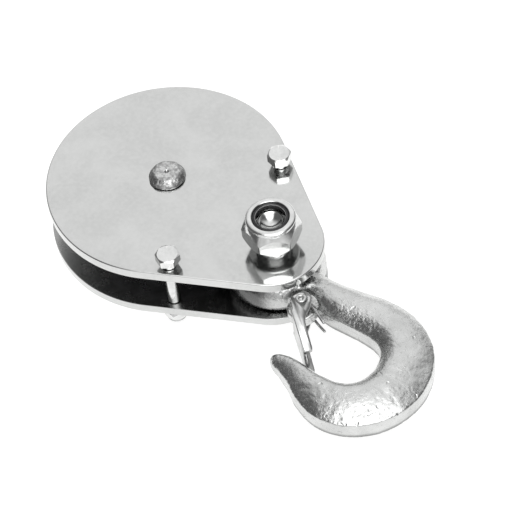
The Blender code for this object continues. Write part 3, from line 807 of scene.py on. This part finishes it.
def add_hook(material):
    """Forging: shank, bowl, eye and latch lug merged into one skin with soft inner corners."""
    eye_middle = 13.0 * MM
    eye_core = 7.0 * MM
    eye_bore = 9.4 * MM
    pocket = hole_rim(HOOK_LOCAL_LATCH, 6.4 * MM, 48)
    pocket_floor = 2.5 * MM
    lug = hole_rim(HOOK_LOCAL_LATCH, 5.4 * MM, 48)
    lug_top = 2.2 * MM
    dish_reach = (6.2 * MM, 11.4 * MM)
    dish_height = (5.0 * MM, 8.0 * MM)
    hook = mesh_object("hook_forging", skin(hook_rows(), cap_ends=True))
    rim = arc((eye_middle, 0.0), 1.0, -75, 75, 12)
    side = [(eye_middle + 5.2 * MM * (x - eye_middle), 6.5 * MM * y) for x, y in rim]
    eye = revolved([(eye_core, side[0][1]), *side, (eye_core, side[-1][1])], 96)
    combine(hook, "UNION", eye)
    for low, high in ((pocket_floor, CUT_REACH), (-CUT_REACH, -pocket_floor)):
        combine(hook, "DIFFERENCE", prism(pocket, low, high))
    for way in (1, -1):
        dish = [circle(reach, way * height, 64) for reach, height in zip(dish_reach, dish_height)]
        combine(hook, "DIFFERENCE", skin(dish, cap_ends=True), Matrix.Translation(HOOK_LOCAL_LATCH))
    combine(hook, "UNION", prism(lug, -lug_top, lug_top))
    combine(hook, "DIFFERENCE", prism(hole_rim((0.0, 0.0), eye_bore, 60), -CUT_REACH, CUT_REACH))
    remesh = hook.modifiers.new("remesh", "REMESH")
    remesh.mode = "VOXEL"
    remesh.voxel_size = 0.38 * MM
    soften = hook.modifiers.new("soften", "SMOOTH")
    soften.factor = 0.5
    soften.iterations = 3
    settle(hook)
    forged_skin = [(0.16 * MM, 7 * MM), (0.09 * MM, 2.4 * MM), (0.05 * MM, 1.0 * MM)]
    roughen(hook, forged_skin, 11.0, 0.12 * MM)
    combine(hook, "DIFFERENCE", prism(hole_rim(HOOK_LOCAL_LATCH, PIN_BORE, 24), -CUT_REACH, CUT_REACH))
    hook.data.transform(hook_placement())
    smooth(hook, 60)
    finish_piece(hook, "load_hook", material, "hook_zinc", "hook")


def latch_placement():
    """Matrix from the latch's own frame, about its rivet, to the row frame."""
    return hook_placement() @ Matrix.Translation(HOOK_LOCAL_LATCH)


def add_latch(material):
    """Channel folded from sheet, with its tongue set in to rest inside the hook's tip."""
    sheet = 1.2 * MM
    depth = 7.0 * MM
    inside = depth - sheet
    fold = 0.6 * MM
    start = Vector((3.6, -6.1)) * MM
    end = Vector((20.5, -11.4)) * MM
    along = (end - start).normalized()
    inward = Vector((-along.y, along.x))
    blade = scaled([(8.4, -3.5), (9.6, -4.1), (11.2, -4.8), (13.0, -5.4), (20.6, -8.0), (21.2, -8.4),
                    (21.3, -8.9)])
    folded = [end, start, start - along * 1.1 * MM, start - along * 2.2 * MM + inward * 0.5 * MM]
    # Each ear's round end, its side, and the shoulder that runs from there into the blade.
    ears = (
        (3.7, 1, ((2.9, 2.2), (3.7, 1.6), (4.5, 0.9), (5.2, 0.1), (5.8, -0.8), (6.4, -1.7), (7.3, -2.6))),
        (2.8, -1, ((2.4, 1.4), (3.0, 0.8), (3.7, 0.1), (4.4, -0.7), (5.1, -1.5), (6.2, -2.4), (7.4, -3.1))),
    )
    latch = None
    for radius, side, shoulder in ears:
        edge = arc((0.0, 0.0), radius * MM, 234, 50, 28) + scaled(shoulder) + blade
        rows = [(0.0, inside)]
        rows += [(fold * (1 - math.cos(a)), depth - fold + fold * math.sin(a))
                 for a in (math.radians(15 * i) for i in range(7))]
        rows.append((fold + 0.1 * MM, depth))
        plate = skin([[(x, y, side * z) for x, y in edge + [tuple(p + inward * inset) for p in folded]]
                      for inset, z in rows], cap_ends=True)
        if latch is None:
            latch = mesh_object("latch_channel", plate)
        else:
            combine(latch, "UNION", plate)
    web = [tuple(start), tuple(end), tuple(end + inward * sheet), tuple(start + inward * sheet)]
    combine(latch, "UNION", prism(web, fold - depth, depth - fold))
    rows = []
    for reach, half in ((-1.2 * MM, 5.6 * MM), (1.0 * MM, 5.2 * MM), (3.3 * MM, 3.6 * MM)):
        outer = end + along * reach + inward * 0.06 * MM
        inner = outer + inward * 1.08 * MM
        rows.append([(*outer, -half), (*outer, half), (*inner, half), (*inner, -half)])
    combine(latch, "UNION", skin(rows, cap_ends=True))
    combine(latch, "DIFFERENCE", prism(hole_rim((0.0, 0.0), PIN_BORE, 30), -CUT_REACH, CUT_REACH))
    latch.data.transform(latch_placement())
    smooth(latch, 32)
    add_bevel(latch, 0.2 * MM, 2, 50)
    settle(latch)
    smooth(latch, 50)
    finish_piece(latch, "safety_latch", material, "latch_zinc", "latch")


def add_latch_pin(material):
    """Hollow rivet with a rolled head at each end."""
    under_head = 7.3
    head = [(1.4, 0.0), (1.88, 0.0), (1.95, 0.14), (1.86, 0.32), (1.6, 0.46), (1.25, 0.46), (0.95, 0.3)]
    head += [(0.8, 0.0), (0.75, -0.9), (0.02, -1.0)]
    path = scaled((radius, under_head + rise) for radius, rise in head)
    profile = [(r, -z) for r, z in path[::-1]] + path
    rings = [circle(r, z, 40) for r, z in profile]
    pin = mesh_object("latch_rivet", skin(rings, cap_ends=True), latch_placement(), 50)
    finish_piece(pin, "load_hook", material, "fastener_zinc", "latch_pin")


def add_latch_spring(material):
    """Double torsion spring, its legs by the shank and its bridge in the latch's frame. It rides on no body.
    """
    wire = 0.5 * MM
    coil = 2.6 * MM
    first_z = 4.95 * MM
    last_z = 3.3 * MM
    half = [Vector((7.1 * MM, -4.9 * MM, z * MM)) for z in (0.0, 1.4, 2.8, 4.0)]
    half.append(Vector((6.0 * MM, -4.4 * MM, first_z)))
    turns = 60
    for i in range(turns + 1):
        angle = math.radians(-75 - 555 * i / turns)
        z = first_z + (last_z - first_z) * i / turns
        half.append(Vector((coil * math.cos(angle), coil * math.sin(angle), z)))
    leg = ((3.0, 2.62, 3.3), (6.0, 2.6, 3.25), (8.2, 2.6, 2.95), (10.5, 2.6, 2.5))
    half += [Vector((x * MM, y * MM, z * MM)) for x, y, z in leg]
    whole = [Vector((p.x, p.y, -p.z)) for p in half[:0:-1]] + half
    place = latch_placement()
    spring = mesh_object("latch_spring_wire", tube(smooth_path(whole, 2), wire), place, 60)
    finish_piece(spring, None, material, "spring_steel", "latch_spring")
    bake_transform(spring)


# ---------------------------------------------------------------- studio

def add_floor():
    """Large pale floor with a glow of its own, so that shadows on it stay light."""
    half_side = 3.0
    clearance = 0.5 * MM
    shape = bmesh.new()
    bmesh.ops.create_grid(shape, x_segments=8, y_segments=8, size=half_side)
    floor = mesh_object("studio_floor", shape, Matrix.Translation((0, 0, -clearance)))
    surface = Surface("studio_floor", 0.0, specular=0.0)
    surface.shader.inputs["Base Color"].default_value = (0.4, 0.4, 0.4, 1.0)
    surface.shader.inputs["Roughness"].default_value = 1.0
    surface.shader.inputs["Emission Color"].default_value = (1.0, 1.0, 0.995, 1.0)
    surface.shader.inputs["Emission Strength"].default_value = 0.82
    floor.data.materials.append(surface.material)


def direction(azimuth, elevation):
    """Unit vector from the ground angle from +X and the height above the horizon, in degrees."""
    a = math.radians(azimuth)
    e = math.radians(elevation)
    return (math.cos(e) * math.cos(a), math.cos(e) * math.sin(a), math.sin(e))


def add_sky():
    """A dim room with large soft boxes."""
    # Each box: azimuth, elevation, half angles where it begins and ends to fade, and brightness.
    boxes = ((-34.0, 62.0, 0.0, 36.0, 2.9), (127.0, 43.0, 5.0, 58.0, 0.90), (60.0, 86.0, 12.0, 28.0, 0.5),
             (-77.0, 22.0, 12.0, 26.0, 0.62), (-24.0, 0.0, 5.0, 56.0, 0.74))
    ambient = 0.13
    world = bpy.data.worlds.new("studio")
    bpy.context.scene.world = world
    world.use_nodes = True
    tree = world.node_tree
    tree.nodes.clear()
    place = tree.nodes.new("ShaderNodeTexCoord").outputs["Generated"]
    total = None
    for azimuth, elevation, inner, outer, brightness in boxes:
        dot = tree.nodes.new("ShaderNodeVectorMath")
        dot.operation = "DOT_PRODUCT"
        dot.inputs[1].default_value = direction(azimuth, elevation)
        tree.links.new(place, dot.inputs[0])
        edge = tree.nodes.new("ShaderNodeMapRange")
        edge.interpolation_type = "SMOOTHSTEP"
        edge.inputs["From Min"].default_value = math.cos(math.radians(outer))
        edge.inputs["From Max"].default_value = math.cos(math.radians(inner))
        edge.inputs["To Max"].default_value = brightness
        tree.links.new(dot.outputs["Value"], edge.inputs["Value"])
        add = tree.nodes.new("ShaderNodeMath")
        add.operation = "ADD"
        tree.links.new(edge.outputs["Result"], add.inputs[0])
        if total is None:
            add.inputs[1].default_value = ambient
        else:
            tree.links.new(total, add.inputs[1])
        total = add.outputs["Value"]
    background = tree.nodes.new("ShaderNodeBackground")
    background.inputs["Color"].default_value = (1.0, 1.0, 1.0, 1.0)
    tree.links.new(total, background.inputs["Strength"])
    output = tree.nodes.new("ShaderNodeOutputWorld")
    tree.links.new(background.outputs["Background"], output.inputs["Surface"])


def add_camera():
    """The photo's camera, fitted to the cheeks, the axle and the guard bolts."""
    data = bpy.data.cameras.new("camera")
    data.lens = CAMERA_LENS
    data.sensor_width = 36.0
    data.clip_start = 0.05
    camera = bpy.data.objects.new("camera", data)
    turn = Matrix.Rotation(math.radians(CAMERA_AZIMUTH), 4, "Z")
    tilt = Matrix.Rotation(math.radians(90 - CAMERA_ELEVATION), 4, "X")
    roll = Matrix.Rotation(math.radians(-CAMERA_ROLL), 4, "Z")
    camera.matrix_world = Matrix.Translation(CAMERA_PLACE) @ turn @ tilt @ roll
    bpy.context.scene.collection.objects.link(camera)
    bpy.context.scene.camera = camera


def main():
    """Studio first, then materials, then the pieces from the outside in."""
    add_camera()
    add_floor()
    add_sky()
    bpy.context.scene.view_settings.view_transform = "Standard"

    zinc_plate = cheek_zinc()
    fastener = bright_zinc()
    nylon = black_nylon("black_nylon")
    spring = spring_steel()
    # Lathe axis, darker and lighter colour, and least roughness.
    wheel = turned_steel("sheave_steel", SHEAVE_CENTRE, (0.05, 0.05, 0.052), (0.10, 0.10, 0.105), 0.34)
    bush = turned_steel("bush_steel", HOOK_CENTRE, (0.20, 0.20, 0.20), (0.32, 0.32, 0.32), 0.30)
    bearing = turned_steel("bearing_steel", SHEAVE_CENTRE, (0.52, 0.53, 0.55), (0.62, 0.63, 0.65), 0.14)

    for node in ("lower_cheek_plate", "upper_cheek_plate"):
        add_cheek(node, zinc_plate)
    add_axle(peened_zinc())
    add_fasteners(fastener, nylon)
    add_sheave(wheel)
    dress_hidden_parts(bush, bearing, spring)
    add_hook(hook_zinc())
    pressed = latch_zinc()
    add_latch(pressed)
    add_latch_pin(pressed)
    add_latch_spring(spring)


main()
